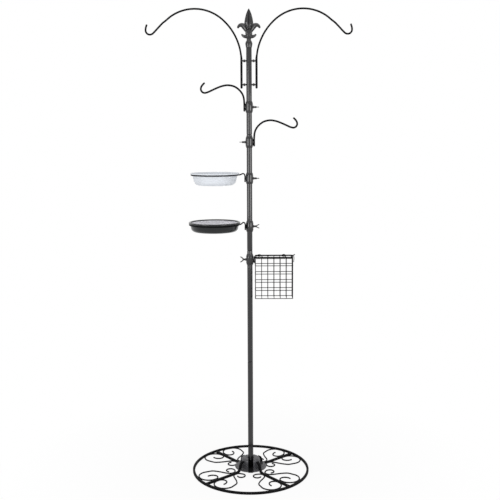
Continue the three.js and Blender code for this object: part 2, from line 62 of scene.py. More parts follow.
ARM_R, SHANK_X, SHANK_BOTTOM = 3.1, 25.5, 1360
SHANK_HALF, FLAT_END, ROUND_START = (3.8, 5), 96, 114
BOLT_R, BOLT_HEIGHTS = 2.5, {"lower": 1373, "upper": 1452}
NUT_MIDDLE, NUT_ACROSS, NUT_LENGTH = 15.6, 8, 6.5

CLAMPS = {  # height, side that it reaches to, and turn of its wings in degrees, 0 where they lie level
    "high_hook": (1298, -1, 0),
    "low_hook": (1180, 1, 0),
    "dish": (1056, -1, 0),
    "tray": (889.5, -1, 35),
    "cage": (773, 1, 90),
}
COLLAR_OUT, COLLAR_HALF = 13, 12
HOOK_R, WIRE_R = 3.2, 2.25
STEM_X = COLLAR_OUT + 0.3 + WIRE_R
DISH_X, DISH_RING_R, DISH_RING_Z, DISH_BOTTOM = -119, 81.5, 1068.5, 1033.5
RIB_DEPTH, RIB_PITCH = 0.7, 6.2
TRAY_X, TRAY_RING_R, TRAY_RING_Z, TRAY_BOTTOM, NET_Z, NET_R = -122, 87, 896.6, 872, 900.5, 81.8
NET_PITCH, NET_WIRE_R = 2.2, 0.55

CAGE_X, CAGE_HALF, CAGE_TOP, CAGE_BOTTOM = (19.5, 149), 25, 783, 638
CAGE_ROD_R, CAGE_WIRE_R, RIM_WIRE_R, THIN_WIRE_R, LID_WIRE_R = 2.5, 1.25, 1.2, 0.9, 1.0
CAGE_COLUMNS, CAGE_ROWS, ROW_PITCH = 7, 5, 29
LID_EYES, EYE_TURNS = (33, 119.7), 6

# ------------------------------------------------------------------ shapes


def eased(corners, reach, steps=5, closed=True):
    """Outline with each corner P replaced by the quadratic curve (1-t)^2 A + 2t(1-t) P + t^2 B, where A
    and B lie `reach` before and after it, or less on a short side. An open one keeps its two ends."""
    p = np.asarray(corners, float)
    back, ahead = np.roll(p, 1, 0) - p, np.roll(p, -1, 0) - p
    back_long = np.linalg.norm(back, axis=1, keepdims=True)
    ahead_long = np.linalg.norm(ahead, axis=1, keepdims=True)
    cut = np.minimum(reach, 0.45 * np.minimum(back_long, ahead_long))
    a, b = p + back / back_long * cut, p + ahead / ahead_long * cut
    t = np.linspace(0, 1, steps + 1)[None, :, None]
    curve = (1 - t) ** 2 * a[:, None] + 2 * t * (1 - t) * p[:, None] + t ** 2 * b[:, None]
    if closed:
        return curve.reshape(-1, p.shape[1])
    return np.vstack([p[:1], curve[1:-1].reshape(-1, p.shape[1]), p[-1:]])


def smooth_route(points, step):
    """Points about `step` apart on the centripetal Catmull-Rom curve: each span is a cubic Hermite curve
    whose end slopes weigh the spans on either side by the square roots of their lengths."""
    p = np.asarray(points, float)
    p = np.vstack([2 * p[:1] - p[1:2], p, 2 * p[-1:] - p[-2:-1]])
    d = np.sqrt(np.linalg.norm(np.diff(p, axis=0), axis=1))[:, None]
    p0, p1, p2, p3 = p[:-3], p[1:-2], p[2:-1], p[3:]
    d0, d1, d2 = d[:-2], d[1:-1], d[2:]
    m1 = ((p1 - p0) / d0 - (p2 - p0) / (d0 + d1) + (p2 - p1) / d1) * d1
    m2 = ((p2 - p1) / d1 - (p3 - p1) / (d1 + d2) + (p3 - p2) / d2) * d1
    t = np.linspace(0, 1, 24, endpoint=False)[:, None, None]
    spans = ((2 * t ** 3 - 3 * t ** 2 + 1) * p1 + (t ** 3 - 2 * t ** 2 + t) * m1
             + (3 * t ** 2 - 2 * t ** 3) * p2 + (t ** 3 - t ** 2) * m2)
    fine = np.vstack([spans.transpose(1, 0, 2).reshape(-1, p.shape[1]), p2[-1:]])
    return at_stations(fine, np.linspace(0, 1, max(4, int(run(fine)[-1] / step) + 1)))


def run(route):
    """Distance from the first point of a route to each of its points."""
    return np.concatenate([[0], np.cumsum(np.linalg.norm(np.diff(route, axis=0), axis=1))])


def at_stations(route, shares):
    """Points of a route at the given shares of its length."""
    s = run(route)
    return np.stack([np.interp(shares * s[-1], s, route[:, k]) for k in range(route.shape[1])], 1)


def arc(centre, radius, start, end, count, end_radius=None):
    """Points c + r(t) (cos a(t), sin a(t)), with the angle and the radius both running evenly."""
    t = np.linspace(0, 1, count)[:, None]
    a = np.radians(start + (end - start) * t)
    r = radius + ((end_radius or radius) - radius) * t
    return np.asarray(centre) + r * np.hstack([np.cos(a), np.sin(a)])


def upright(points, side=1, y=0.0):
    """Points [x, z] set in the upright plane at y, as (side x, y, z)."""
    p = np.asarray(points, float)
    return np.stack([side * p[:, 0], np.full(len(p), y), p[:, 1]], 1)


def round_angles(count):
    """Even angles over a whole turn."""
    return np.linspace(0, 2 * np.pi, count, endpoint=False)


def oval(half_a, half_b, square=1.0, count=20):
    """Outline (a |cos|^e sign, b |sin|^e sign): an ellipse at e = 1, a rounded bar nearer 0, a diamond
    nearer 2. The halves and e may be arrays, one for each ring."""
    a, b, e = np.broadcast_arrays(np.atleast_1d(half_a), half_b, square)
    angle = round_angles(count)[None]
    c, s = np.cos(angle), np.sin(angle)
    power = e[:, None]
    return np.stack([a[:, None] * np.sign(c) * np.abs(c) ** power,
                     b[:, None] * np.sign(s) * np.abs(s) ** power], -1)


def carried(route, outline, flat, loop=False):
    """Rings of an outline carried along a route in the plane whose normal is `flat`: each point is
    route + u (tangent x flat) + v flat."""
    if loop:
        tangent = np.roll(route, -1, 0) - np.roll(route, 1, 0)
    else:
        tangent = np.gradient(route, axis=0)
    tangent /= np.linalg.norm(tangent, axis=1, keepdims=True)
    sideways = np.cross(tangent, flat)
    return route[:, None] + outline[..., :1] * sideways[:, None] + outline[..., 1:] * np.asarray(flat)


def skin(rings, start=None, end=None):
    """Closed surface over rings of points [along, around]: quads between neighbours, and a fan of
    triangles to a point at each end, or the last ring joined to the first where no ends are given."""
    n, m = rings.shape[:2]
    loop = start is None
    i = np.arange(n if loop else n - 1)[:, None]
    j = np.arange(m)[None]
    after, beside = (i + 1) % n, (j + 1) % m
    quads = np.stack([i * m + j, i * m + beside, after * m + beside, after * m + j], -1).reshape(-1, 4)
    points = rings.reshape(-1, 3)
    if loop:
        return points, quads, np.empty((0, 3), int)
    k = np.arange(m)
    beside, last, tip = (k + 1) % m, (n - 1) * m, np.full(m, n * m)
    fans = np.vstack([np.stack([beside, k, tip], 1), np.stack([last + k, last + beside, tip + 1], 1)])
    return np.vstack([points, [start], [end]]), quads, fans


def tipped(middle, reach, count):
    """Shares of a rod's length, with a tip at each end where the outline is scaled by sin a at the share
    reach (1 - cos a), and the scales."""
    turn = np.linspace(0, np.pi / 2, count + 1)[1:]
    near = reach * (1 - np.cos(turn))
    return (np.concatenate([near, middle, 1 - near[::-1]]),
            np.concatenate([np.sin(turn), np.ones(len(middle)), np.sin(turn[::-1])]))


def rod(route, radius, flat, tip=1.0, sides=16, step=2.0, square=1.0, halves=None):
    """Rod along a route: its outline is scaled by k = sin a, and set at the distance tip r (1 - cos a)
    from an end, so that both tips are rounded. `halves` gives the half widths as arrays of the share
    of the length, and is (radius, radius) for a plain round rod."""
    fine = smooth_route(route, 0.5)
    length = run(fine)[-1]
    near = tip * radius / length
    shares, scale = tipped(np.linspace(near, 1 - near, max(3, int(length / step)))[1:-1], near, 6)
    if halves is None:
        halves = [np.full(len(shares), radius)] * 2
    else:
        halves = [np.interp(shares, *h) for h in halves]
    power = np.interp(shares, *square) if isinstance(square, tuple) else square
    outline = oval(halves[0] * scale, halves[1] * scale, power, sides)
    line = at_stations(fine, shares)
    return skin(carried(line, outline, flat), fine[0], fine[-1])


def turned(profile, sides=64, centre=(0, 0, 0), loop=False):
    """Surface (r cos a, r sin a, z) of a profile of [r, z] turned round the Z axis. It closes on itself,
    or runs from the axis to the axis."""
    p = np.asarray(profile, float)
    a = round_angles(sides)[None, :, None]
    inner = p if loop else p[1:-1]
    r, z = inner[:, None, :1], inner[:, None, 1:]
    rings = np.concatenate([r * np.cos(a), r * np.sin(a), np.broadcast_to(z, (len(inner), sides, 1))], -1)
    rings = rings + np.asarray(centre, float)
    if loop:
        return skin(rings)
    return skin(rings, *(np.array([0, 0, p[k, 1]]) + centre for k in (0, -1)))


def lying(shell, side, height):
    """A shape turned round Z laid along X instead, mirrored where side is -1, at a height."""
    points = shell[0][:, [2, 0, 1]] * [side, 1, 1] + [0, 0, height]
    return points, shell[1], shell[2]


def moved(shell, by):
    """A shape shifted by (x, y, z)."""
    return shell[0] + np.asarray(by, float), shell[1], shell[2]


def spun(shell, degrees):
    """A shape turned about the Z axis."""
    c, s = math.cos(math.radians(degrees)), math.sin(math.radians(degrees))
    return shell[0] @ np.array([[c, s, 0], [-s, c, 0], [0, 0, 1]]), shell[1], shell[2]


def outward(shell):
    """The shell with its faces turned to point out, by the sign of its volume."""
    points, quads, triangles = shell
    every = np.vstack([triangles, quads[:, :3], quads[:, [0, 2, 3]]])
    a, b, c = (points[every[:, k]] for k in range(3))
    if np.einsum("ij,ij->", a, np.cross(b, c)) < 0:
        return points, quads[:, ::-1], triangles[:, ::-1]
    return shell


def in_scene(name, data):
    """A new object in the scene, at the origin."""
    obj = bpy.data.objects.new(name, data)
    bpy.context.scene.collection.objects.link(obj)
    return obj


def piece(name, shells, finish, body, *nodes, crease=40):
    """One visible piece made of closed shells. It rides on a body and stands for its CAD nodes."""
    points, loops, starts = [], [], []
    count = corner = 0
    for shell in map(outward, shells):
        for faces in shell[1:]:
            if not len(faces):
                continue
            starts.append(corner + np.arange(len(faces)) * faces.shape[1])
            loops.append((faces + count).ravel())
            corner += faces.size
        points.append(shell[0])
        count += len(shell[0])
    mesh = bpy.data.meshes.new(name)
    starts, loops = np.concatenate(starts), np.concatenate(loops)
    mesh.vertices.add(count)
    mesh.vertices.foreach_set("co", (np.vstack(points) * MM).astype(np.float32).ravel())
    mesh.loops.add(len(loops))
    mesh.loops.foreach_set("vertex_index", loops.astype(np.int32))
    mesh.polygons.add(len(starts))
    mesh.polygons.foreach_set("loop_start", starts.astype(np.int32))
    mesh.update(calc_edges=True)
    mesh.validate()
    mesh.polygons.foreach_set("use_smooth", np.ones(len(starts), bool))
    mesh.set_sharp_from_angle(angle=math.radians(crease))
    material, slot = finish
    mesh.materials.append(material)
    obj = in_scene(name, mesh)
    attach(obj, body)
    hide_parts(*nodes)
    return obj


# ------------------------------------------------------------------ finishes


def feed(tree, socket, value):
    """An input set to a number or a colour, or linked to an output."""
    if isinstance(value, bpy.types.NodeSocket):
        tree.links.new(value, socket)
    else:
        socket.default_value = value


def add(tree, kind, values=None, **settings):
    """A node with its settings, and its inputs fed by their names or numbers."""
    node = tree.nodes.new(kind)
    for key, value in settings.items():
        setattr(node, key, value)
    for key, value in (values or {}).items():
        feed(tree, node.inputs[key], value)
    return node


def math_node(tree, operation, *values):
    """The output of a Math node on numbers or outputs."""
    return add(tree, "ShaderNodeMath", dict(enumerate(values)), operation=operation).outputs[0]


def ranged(tree, value, low=0.0, high=1.0, new_low=0.0, new_high=1.0):
    """A value carried evenly from one range to another, and kept inside the second."""
    return add(tree, "ShaderNodeMapRange", {"Value": value, "From Min": low, "From Max": high,
                                            "To Min": new_low, "To Max": new_high}).outputs[0]


def noise(tree, place, scale, detail, roughness):
    """A noise of so many bumps in a metre."""
    return add(tree, "ShaderNodeTexNoise", {"Vector": place, "Scale": scale, "Detail": detail,
                                            "Roughness": roughness}).outputs["Fac"]


def mixed(tree, share, a, b):
    """A colour that goes from a to b with the share."""
    return add(tree, "ShaderNodeMix", {"Factor": share, "A": a, "B": b}, data_type="RGBA",
               clamp_factor=True).outputs["Result"]


def relief(tree, height, strength, distance):
    """A surface direction tilted by a height."""
    return add(tree, "ShaderNodeBump", {"Height": height, "Strength": strength,
                                        "Distance": distance}).outputs[0]


def new_group(name, inputs, outputs):
    """A node group of plain numbers; returns it with what it is given and what it puts out."""
    tree = bpy.data.node_groups.new(name, "ShaderNodeTree")
    for label, value in inputs.items():
        socket = tree.interface.new_socket(name=label, in_out="INPUT", socket_type="NodeSocketFloat")
        socket.default_value = value
    for label in outputs:
        tree.interface.new_socket(name=label, in_out="OUTPUT", socket_type="NodeSocketFloat")
    return tree, tree.nodes.new("NodeGroupInput").outputs, tree.nodes.new("NodeGroupOutput").inputs


def coat_group():
    """Sprayed coat: fine orange peel as a height, and slow patches of thicker and thinner coat."""
    tree, given, out = new_group("Sprayed coat", {"Peel scale": 900, "Patch scale": 14},
                                 ["Height", "Patch"])
    place = add(tree, "ShaderNodeTexCoord").outputs["Object"]
    feed(tree, out["Height"], noise(tree, place, given["Peel scale"], 2.0, 0.55))
    feed(tree, out["Patch"], noise(tree, place, given["Patch scale"], 3.0, 0.6))
    return tree


def dust_group():
    """Dust settled on faces that look up: the surface's own upward slope times a broken noise."""
    tree, given, out = new_group("Settled dust", {"Amount": 0.3, "Scale": 120}, ["Mask"])
    place = add(tree, "ShaderNodeTexCoord").outputs
    upward = add(tree, "ShaderNodeSeparateXYZ", {0: place["Normal"]}).outputs["Z"]
    broken = ranged(tree, noise(tree, place["Object"], given["Scale"], 4.0, 0.65), 0.4, 0.7)
    mask = math_node(tree, "MULTIPLY", ranged(tree, upward, 0.35, 0.95), broken)
    feed(tree, out["Mask"], math_node(tree, "MULTIPLY", mask, given["Amount"]))
    return tree


def scuff_group():
    """Fine rubbed lines along the height of a piece: a noise drawn out along Z, cut at a threshold."""
    tree, given, out = new_group("Rubbed lines", {"Amount": 0.3, "Scale": 260}, ["Mask"])
    place = add(tree, "ShaderNodeTexCoord").outputs["Object"]
    drawn = add(tree, "ShaderNodeMapping", {"Vector": place, "Scale": (1, 1, 0.03)}).outputs[0]
    cut = ranged(tree, noise(tree, drawn, given["Scale"], 3.0, 0.6), 0.52, 0.72)
    feed(tree, out["Mask"], math_node(tree, "MULTIPLY", cut, given["Amount"]))
    return tree


COAT, DUST, SCUFF = coat_group(), dust_group(), scuff_group()
DUST_GREY = (0.32, 0.30, 0.27, 1)
MILKY, MILKY_LIGHT = (0.72, 0.755, 0.81, 1), (0.79, 0.82, 0.865, 1)


def new_material(name):
    """A material with its node tree."""
    material = bpy.data.materials.new(name)
    material.use_nodes = True
    return material, material.node_tree


def surface(tree, values):
    """Feeds the material's own shader."""
    for label, value in values.items():
        feed(tree, tree.nodes["Principled BSDF"].inputs[label], value)


def finish(slot, base, light, rough, peel, dust=0.15, scuff=0.2, bump=0.05, rough_spread=0.12,
           metallic=0.0, specular=0.5):
    """A coated or moulded finish. The colour runs from base to light with the coat's patches and the
    rubbed lines, dust greys the faces that look up, and the peel gives the relief."""
    material, tree = new_material(slot)
    sprayed = add(tree, "ShaderNodeGroup", {"Peel scale": peel}, node_tree=COAT).outputs
    dusty = add(tree, "ShaderNodeGroup", {"Amount": dust}, node_tree=DUST).outputs["Mask"]
    rubbed = add(tree, "ShaderNodeGroup", {"Amount": scuff}, node_tree=SCUFF).outputs["Mask"]
    shade = math_node(tree, "ADD", ranged(tree, sprayed["Patch"], 0.35, 0.65, 0.0, 0.6), rubbed)
    colour = mixed(tree, shade, (*base, 1), (*light, 1))
    gloss = ranged(tree, sprayed["Patch"], 0.0, 1.0, rough - rough_spread, rough + rough_spread)
    surface(tree, {"Metallic": metallic, "Specular IOR Level": specular,
                   "Base Color": mixed(tree, dusty, colour, DUST_GREY),
                   "Roughness": math_node(tree, "ADD", gloss, dusty),
                   "Normal": relief(tree, sprayed["Height"], bump, 0.0004)})
    return material, slot


def clear_finish(slot):
    """Milky pressed plastic with a faint blue tint, a little clouded in patches."""
    material, tree = new_material(slot)
    sprayed = add(tree, "ShaderNodeGroup", {"Peel scale": 260}, node_tree=COAT).outputs
    surface(tree, {"Transmission Weight": 0.02, "IOR": 1.46, "Metallic": 0.0,
                   "Base Color": mixed(tree, sprayed["Patch"], MILKY, MILKY_LIGHT),
                   "Roughness": ranged(tree, sprayed["Patch"], 0.3, 0.7, 0.45, 0.55),
                   "Normal": relief(tree, sprayed["Height"], 0.01, 0.0002)})
    return material, slot


SATIN_BLACK = finish("black_coat", (0.004, 0.004, 0.0045), (0.008, 0.008, 0.009), 0.52, 300, dust=0.02,
                     scuff=0.03, bump=0.01, rough_spread=0.05, specular=0.04)
POLE_GREY = finish("pole_coat", (0.008, 0.008, 0.009), (0.014, 0.014, 0.016), 0.13, 300, dust=0.02,
                   scuff=0.05, bump=0.006, rough_spread=0.02, specular=0.62)
HAMMERED = finish("hammered", (0.045, 0.045, 0.05), (0.11, 0.11, 0.12), 0.36, 500, dust=0.12, bump=0.2,
                  metallic=0.3)
MOULDED = finish("black_plastic", (0.012, 0.012, 0.013), (0.028, 0.028, 0.03), 0.38, 1500, dust=0.1, bump=0.1)
GLOSSY_PAN = finish("pan_plastic", (0.008, 0.009, 0.010), (0.022, 0.024, 0.025), 0.16, 400, dust=0.02,
                    scuff=0.05, bump=0.01, rough_spread=0.03, specular=0.35)
BLACKENED = finish("zinc", (0.02, 0.02, 0.021), (0.06, 0.058, 0.055), 0.34, 1600, dust=0.1, metallic=0.6)
BRIGHT_NET = finish("mesh_steel", (0.82, 0.81, 0.86), (0.90, 0.89, 0.94), 0.38, 1400, dust=0.0, scuff=0.1,
                    metallic=0.2)
CLEAR = clear_finish("clear_plastic")

# ------------------------------------------------------------------ base


def scattered(profile, count, seed):
    """Mark centres scattered evenly over a turned profile of [r, z], by their share of its area."""
    spread = np.random.default_rng(seed)
    line = at_stations(np.asarray(profile, float), spread.random(count))
    a = spread.random(count) * 2 * np.pi
    kept = spread.random(count) < line[:, 0] / line[:, 0].max()
    return np.stack([line[:, 0] * np.cos(a), line[:, 0] * np.sin(a), line[:, 1]], 1)[kept]


def marks(points, centres, reach, depth):
    """Hammer marks: a point sinks by depth (1 - (d / reach)^2), where d is its distance to the nearest
    of the mark centres."""
    nearest = np.full(len(points), np.inf)
    for centre in centres:
        nearest = np.minimum(nearest, ((points - centre) ** 2).sum(1))
    return depth * np.clip(1 - nearest / reach ** 2, 0, 1)


def slotted(outside, inside, widest, count, notch=None):
    """Turned wall with a slot at the front, between two paths of [r, z] with equally many points. At
    the share u of the way round, the angle is -90 + s + u (360 - 2 s), where s = asin(half slot / r)
    by the slot, so that its walls are flat, and s = asin(half slot / widest) away from it."""
    loop = np.vstack([outside, inside[::-1]])
    u = np.linspace(0, 1, count)[:, None]
    narrow = math.asin(WINDOW_HALF / widest)
    r, z = np.broadcast_to(loop[:, 0], (count, len(loop))), np.broadcast_to(loop[:, 1], (count, len(loop)))
    angle = -np.pi / 2 + narrow + u * (2 * np.pi - 2 * narrow)
    if notch is not None:
        r = np.minimum(r, notch(angle))
    own = np.arcsin(np.clip(WINDOW_HALF / r, 0, 0.95)) - narrow
    near = np.clip(1 - np.minimum(u, 1 - u) / 0.3, 0, 1)
    near = near * near * (3 - 2 * near)
    angle = angle + own * near * np.sign(0.5 - u)
    rings = np.stack([r * np.cos(angle), r * np.sin(angle), z], -1)
    n, m = rings.shape[:2]
    half = m // 2
    points, quads = skin(rings)[:2]
    quads = quads[:(n - 1) * m]
    j = np.arange(half - 1)
    cap = np.stack([j, m - 1 - j, m - 2 - j, j + 1], 1)
    last = (n - 1) * m + np.stack([j, j + 1, m - 2 - j, m - 1 - j], 1)
    return points, np.vstack([quads, cap, last]), np.empty((0, 3), int)


def base_ring():
    """Square bar with eased edges, turned round Z."""
    half = BAR / 2
    section = eased([[RING_R - half, 0], [RING_R + half, 0], [RING_R + half, BAR], [RING_R - half, BAR]], 1.4)
    piece("base_hoop", [turned(section, 200, loop=True)], SATIN_BLACK, "stand", "base_ring")


def spoke(name, turn):
    """Square bar in an upright radial plane, bent up at the hub to the drum's shoulder."""
    line = upright([[202.4, 4], [140, 4], [80, 4], [64, 4.6], [56.5, 7.5], [51.5, 13.5], [49.8, 20.5],
                    [48, 27.5], [44, 34], [36, 38.8]])
    bar = rod(line, BAR / 2, Y, tip=0.3, sides=28, step=2.5, square=0.22)
    piece(f"spoke_bar_{name}", [spun(bar, turn)], SATIN_BLACK, "stand", f"spoke_{name}")


def scroll(name, turn, side, letter):
    """Thin rod lying beside a spoke: a small open curl by the hub and a big curl by the hoop."""
    flat = np.vstack([
        arc((72, 30), 12, -35, 215, 12, 16.5),
        [[66, 10.2], [75, 7.4], [85, 9.5], [93, 16.5], [99, 27], [105, 41], [113, 56], [124, 69.5]],
        arc((157.5, 43.5), 35.8, 115, -100, 14),
        [[143, 12.6], [137.6, 21.5], [138.4, 31.5], [144.5, 39.5], [153.5, 44], [163, 44.8]]])
    line = np.stack([flat[:, 0], side * flat[:, 1], np.full(len(flat), SCROLL_Z)], 1)
    curl = rod(line, SCROLL_R, Z, sides=14, step=2.2)
    beads = [bead((x, side * y, SCROLL_Z - 0.4), size) for x, y, size in (
        (75, 5.0, (5, 2, 2.2)), (157.5, 5.6, (4, 1.9, 2)), (193.3, 53.4, (2.2, 2.2, 2)))]
    piece(f"scroll_rod_{name}_{letter}", [spun(s, turn) for s in (curl, *beads)], SATIN_BLACK, "stand",
          f"scroll_{name}_{letter}")


def bead(centre, halves, seed=1):
    """Weld bead: a ball (sin b cos a, sin b sin a, cos b) stretched by the halves, with its radius
    wavering by a sum of sines."""
    b = np.linspace(0, np.pi, 12)[1:-1, None]
    a = round_angles(18)[None]
    waver = 1 + 0.07 * np.sin(3 * a + 5 * b + seed) + 0.05 * np.sin(5 * a - 4 * b + 2 * seed)
    ball = np.stack([waver * np.sin(b) * np.cos(a), waver * np.sin(b) * np.sin(a), np.cos(b) + 0 * a], -1)
    ball = ball * halves + centre
    return skin(ball, *(np.array([0, 0, s]) * halves + centre for s in (1, -1)))


def flange():
    """Round plate with hammer marks, a slot at the front and a notch round each rising spoke."""
    shares = np.concatenate([np.linspace(11, 54, 40), [55, 55.8, 56.4, 56.8, 57]])
    edge = np.clip((shares - 55) / 2, 0, 1)
    under = np.stack([shares, FLANGE_LOW + 0.4 * edge ** 2], 1)
    over = np.stack([shares, FLANGE_TOP - 1.2 * edge ** 2], 1)

    def notch(angle):
        """The radius at which the plate ends by a spoke, on a chord across it, or else far out."""
        away = np.abs((np.degrees(angle) - BASE_TURN + 45) % 90 - 45)
        across = np.sin(np.radians(away)) * FLANGE_R
        return np.where(across < 4.5, 45.5 / np.cos(np.radians(away)), 1e3)

    points, quads, fans = slotted(under, over, FLANGE_R, 720, notch)
    top = points[:, 2] > FLANGE_TOP - 0.5
    centres = scattered([[30, FLANGE_TOP], [FLANGE_R, FLANGE_TOP]], count=560, seed=3)
    points[top, 2] -= marks(points[top], centres, reach=3.2, depth=0.4)
    piece("hub_plate", [(points, quads, fans)], HAMMERED, "stand", "hub_flange")


def drum():
    """Hammered drum round the pole's foot: one wall with rounded shoulders and a slot at the front. Its
    marks sink towards the level circle of radius 20 at the height 30."""
    share, around = np.linspace(0, 1, 64), 460
    outside = at_stations(smooth_route([[34, DRUM_LOW], [34.5, 33], [34.1, 38], [32.6, 42.2], [30, 44.9],
                                        [27, 46], [20, 46.3], [14, DRUM_TOP], [11, 44.6], [10.1, 42]],
                                       0.5), share)
    inside = at_stations(np.array([[31, DRUM_LOW], [31, 32], [30, 37], [27, 41], [22, 43], [10.1, 39]]),
                         share)
    points, quads, fans = slotted(outside, inside, 34, around)
    outer = np.tile(np.arange(2 * len(share)) < len(share), around)
    sunk = marks(points[outer], scattered(outside, count=1500, seed=5), reach=3.1, depth=0.5)
    reach = np.hypot(points[outer, 0], points[outer, 1])
    inward = np.stack([(20 / reach - 1) * points[outer, 0], (20 / reach - 1) * points[outer, 1],
                       30 - points[outer, 2]], 1)
    inward /= np.linalg.norm(inward, axis=1, keepdims=True)
    fade = np.clip((points[outer, 2] - DRUM_LOW) / 1.5, 0, 1) * np.clip((reach - 10.4) / 2, 0, 1)
    points[outer] += inward * (sunk * fade)[:, None]
    piece("hub_cup", [(points, quads, fans)], HAMMERED, "stand", "hub_drum")


def socket():
    """Stub tube for the pole, on a foot disc, with a flat tongue out to the plate's front edge."""
    tube = turned(eased([[8.2, 8], [8.2, SOCKET_TOP], [POLE_R, SOCKET_TOP], [POLE_R, 2], [8.2, 2]], 0.5), 48,
                  loop=True)
    foot = turned(eased([[0, 2], [30, 2], [30, 8], [0, 8]], 0.6, closed=False), 96)
    tongue = rod([[0, -7, 11.9], [0, -30, 11.9], [0, -55, 11.9]], 2.4, X, tip=0.3, sides=28, square=0.2,
                 halves=(([0, 1], [2.4, 2.4]), ([0, 1], [9, 9])))
    piece("pole_stub", [tube, foot, tongue], SATIN_BLACK, "stand", "pole_socket")


# ------------------------------------------------------------------ pole and finial


def pole(name, low, high):
    """Tube with a swaged lower end: a thin-walled profile turned round the axis."""
    start = low + SEAM
    foot = start - SPIGOT_LENGTH
    inner, tight = POLE_R - POLE_WALL, SPIGOT_R - POLE_WALL
    profile = eased([[tight, foot], [SPIGOT_R, foot], [SPIGOT_R, start], [POLE_R, start + 2], [POLE_R, high],
                     [inner, high], [inner, start + 3.5], [tight, start + 1]], 0.5, 4)
    piece(name + "_tube", [turned(profile, 72, loop=True)], POLE_GREY, "stand", name)


def finial():
    """Cast leaf finial. The blade's outline is a diamond with a groove g exp(-(x / w)^2) down its
    middle; the side petals and the horned band are flattened rods that swell and taper on curled
    routes; the waist is fluted by r (1 + 0.07 cos 6a)."""
    side_line = smooth_route([
        [7.9, 1480.6], [7.9, 1494], [9.4, 1494.4], [11, 1501], [12.2, 1507.5], [10.8, 1514], [7.9, 1519],
        [7.4, 1522.5], [9.2, 1526.5], [10.8, 1531], [11.2, 1542], [10.6, 1553]], 0.8)
    points, quads, fans = turned(np.vstack([[[0, 1480]], side_line, [[0, 1558]]]), 96)
    turn = np.arctan2(points[:, 1], points[:, 0])
    waist = np.clip((points[:, 2] - 1538) / 4, 0, 1) * np.clip((1557 - points[:, 2]) / 4, 0, 1)
    points[:, :2] *= (1 + 0.07 * waist * np.cos(6 * turn))[:, None]
    stem = points, quads, fans
    bands = [turned(eased([[0, z], [r - 1, z], [r, z + 0.3 * h], [r, z + 0.7 * h], [r - 1, z + h],
                           [0, z + h]], 0.9, closed=False), 64)
             for r, z, h in ((12.8, 1529.4, 8.8), (9.6, 1515.6, 1.8))]
    height = np.linspace(0, 1, 60)
    tall = 1552 + 71 * height
    wide = np.interp(tall, [1552, 1556, 1562, 1570, 1579, 1592, 1606, 1617.5, 1621.5, 1623],
                     [0.4, 5.5, 10.2, 13.8, 14.9, 12.6, 8.9, 4.0, 1.8, 0.3])
    outline = oval(wide, wide * 0.5, 1.45, 40)
    groove = 0.3 * wide[:, None] * np.exp(-(outline[..., 0] / (0.15 * wide[:, None])) ** 2)
    outline[..., 1] -= np.sign(outline[..., 1]) * np.minimum(groove, np.abs(outline[..., 1]) * 0.6)
    rings = np.concatenate([outline, np.broadcast_to(tall[:, None, None], (60, 40, 1))], -1)
    shells = [stem, *bands, skin(rings, (0, 0, 1551.6), (0, 0, 1623.2))]
    for side in (-1, 1):
        petal = upright([[8, 1548], [11, 1556], [16, 1563.5], [22, 1568.7], [29, 1568.9], [34.5, 1564.8],
                         [37.1, 1558.8]], side)
        shells.append(rod(petal, 2.2, Y, sides=32, step=0.8, square=1.6,
                          halves=(([0, .18, .38, .55, .7, .85, 1], [5, 7.2, 8.2, 7.6, 6.2, 4.4, 3.0]),
                                  ([0, .5, .8, 1], [5.4, 5.4, 4, 2.8]))))
        web = upright([[8, 1570.5], [14, 1571.2], [20, 1571.6], [26, 1570.8]], side)
        shells.append(rod(web, 2.2, Y, sides=24, step=0.8, square=1.4,
                          halves=(([0, .6, 1], [3.8, 3.9, 2.6]), ([0, 1], [3.2, 2.4]))))
        for front in (1, -1):
            lobe = upright([[1.5, 1549], [4.5, 1560], [8.2, 1570], [9.6, 1578]], side, -2.6 * front)
            shells.append(rod(lobe, 1.6, Y, sides=16, step=1.2, square=1.2,
                              halves=(([0, .5, 1], [1.6, 3.2, 1.0]), ([0, .5, 1], [2.4, 3.8, 1.4]))))
    horn = np.array([[24, 1540.3], [22.6, 1537.6], [18.5, 1533.8], [12, 1532], [6, 1532.6]])
    horns = np.vstack([upright(horn, -1), [[0, 0, 1533]], upright(horn[::-1])])
    shells.append(rod(horns, 2.2, Y, sides=32, step=0.8, square=1.25,
                      halves=(([0, .08, .16, .28, .4, .6, .72, .84, .92, 1],
                               [2.8, 3.5, 4.5, 6.1, 6.8, 6.8, 6.1, 4.5, 3.5, 2.8]),
                              ([0, .2, .31, .4, .6, .69, .8, 1],
                               [2.2, 4.6, 8.2, 10.6, 10.6, 8.2, 4.6, 2.2]))))
    piece("leaf_finial", shells, POLE_GREY, "stand", "finial", crease=50)


# ------------------------------------------------------------------ big arms


def arm(name, side):
    """One bar: flat shank beside the pole, drawn round above it, arched out to an upturned hook."""
    route = np.vstack([[[SHANK_X, SHANK_BOTTOM], [SHANK_X, 1400], [SHANK_X, 1440], [SHANK_X, 1460]],
                       arc((209.2, 1449.2), 183.8, 174, 132, 7), arc((182, 1480.8), 142.1, 127, 47, 10),
                       [[289, 1577.2], [300, 1566.3], [310, 1555.9], [318.5, 1547.2], [325.3, 1541.4]],
                       arc((333, 1553.5), 14, -95, 0, 6), [[346, 1562], [342.4, 1573]]])
    line = upright(route, side)
    length = run(smooth_route(line, 0.5))[-1]
    change = np.array([0, FLAT_END, ROUND_START, length]) / length
    bar = rod(line, ARM_R, Y, tip=0.8, sides=24, step=2.5, square=(change, [0.35, 0.35, 1, 1]),
              halves=[(change, [half, half, ARM_R, ARM_R]) for half in SHANK_HALF])
    piece(f"arched_arm_{name}", [bar], SATIN_BLACK, "stand", f"arm_{name}")


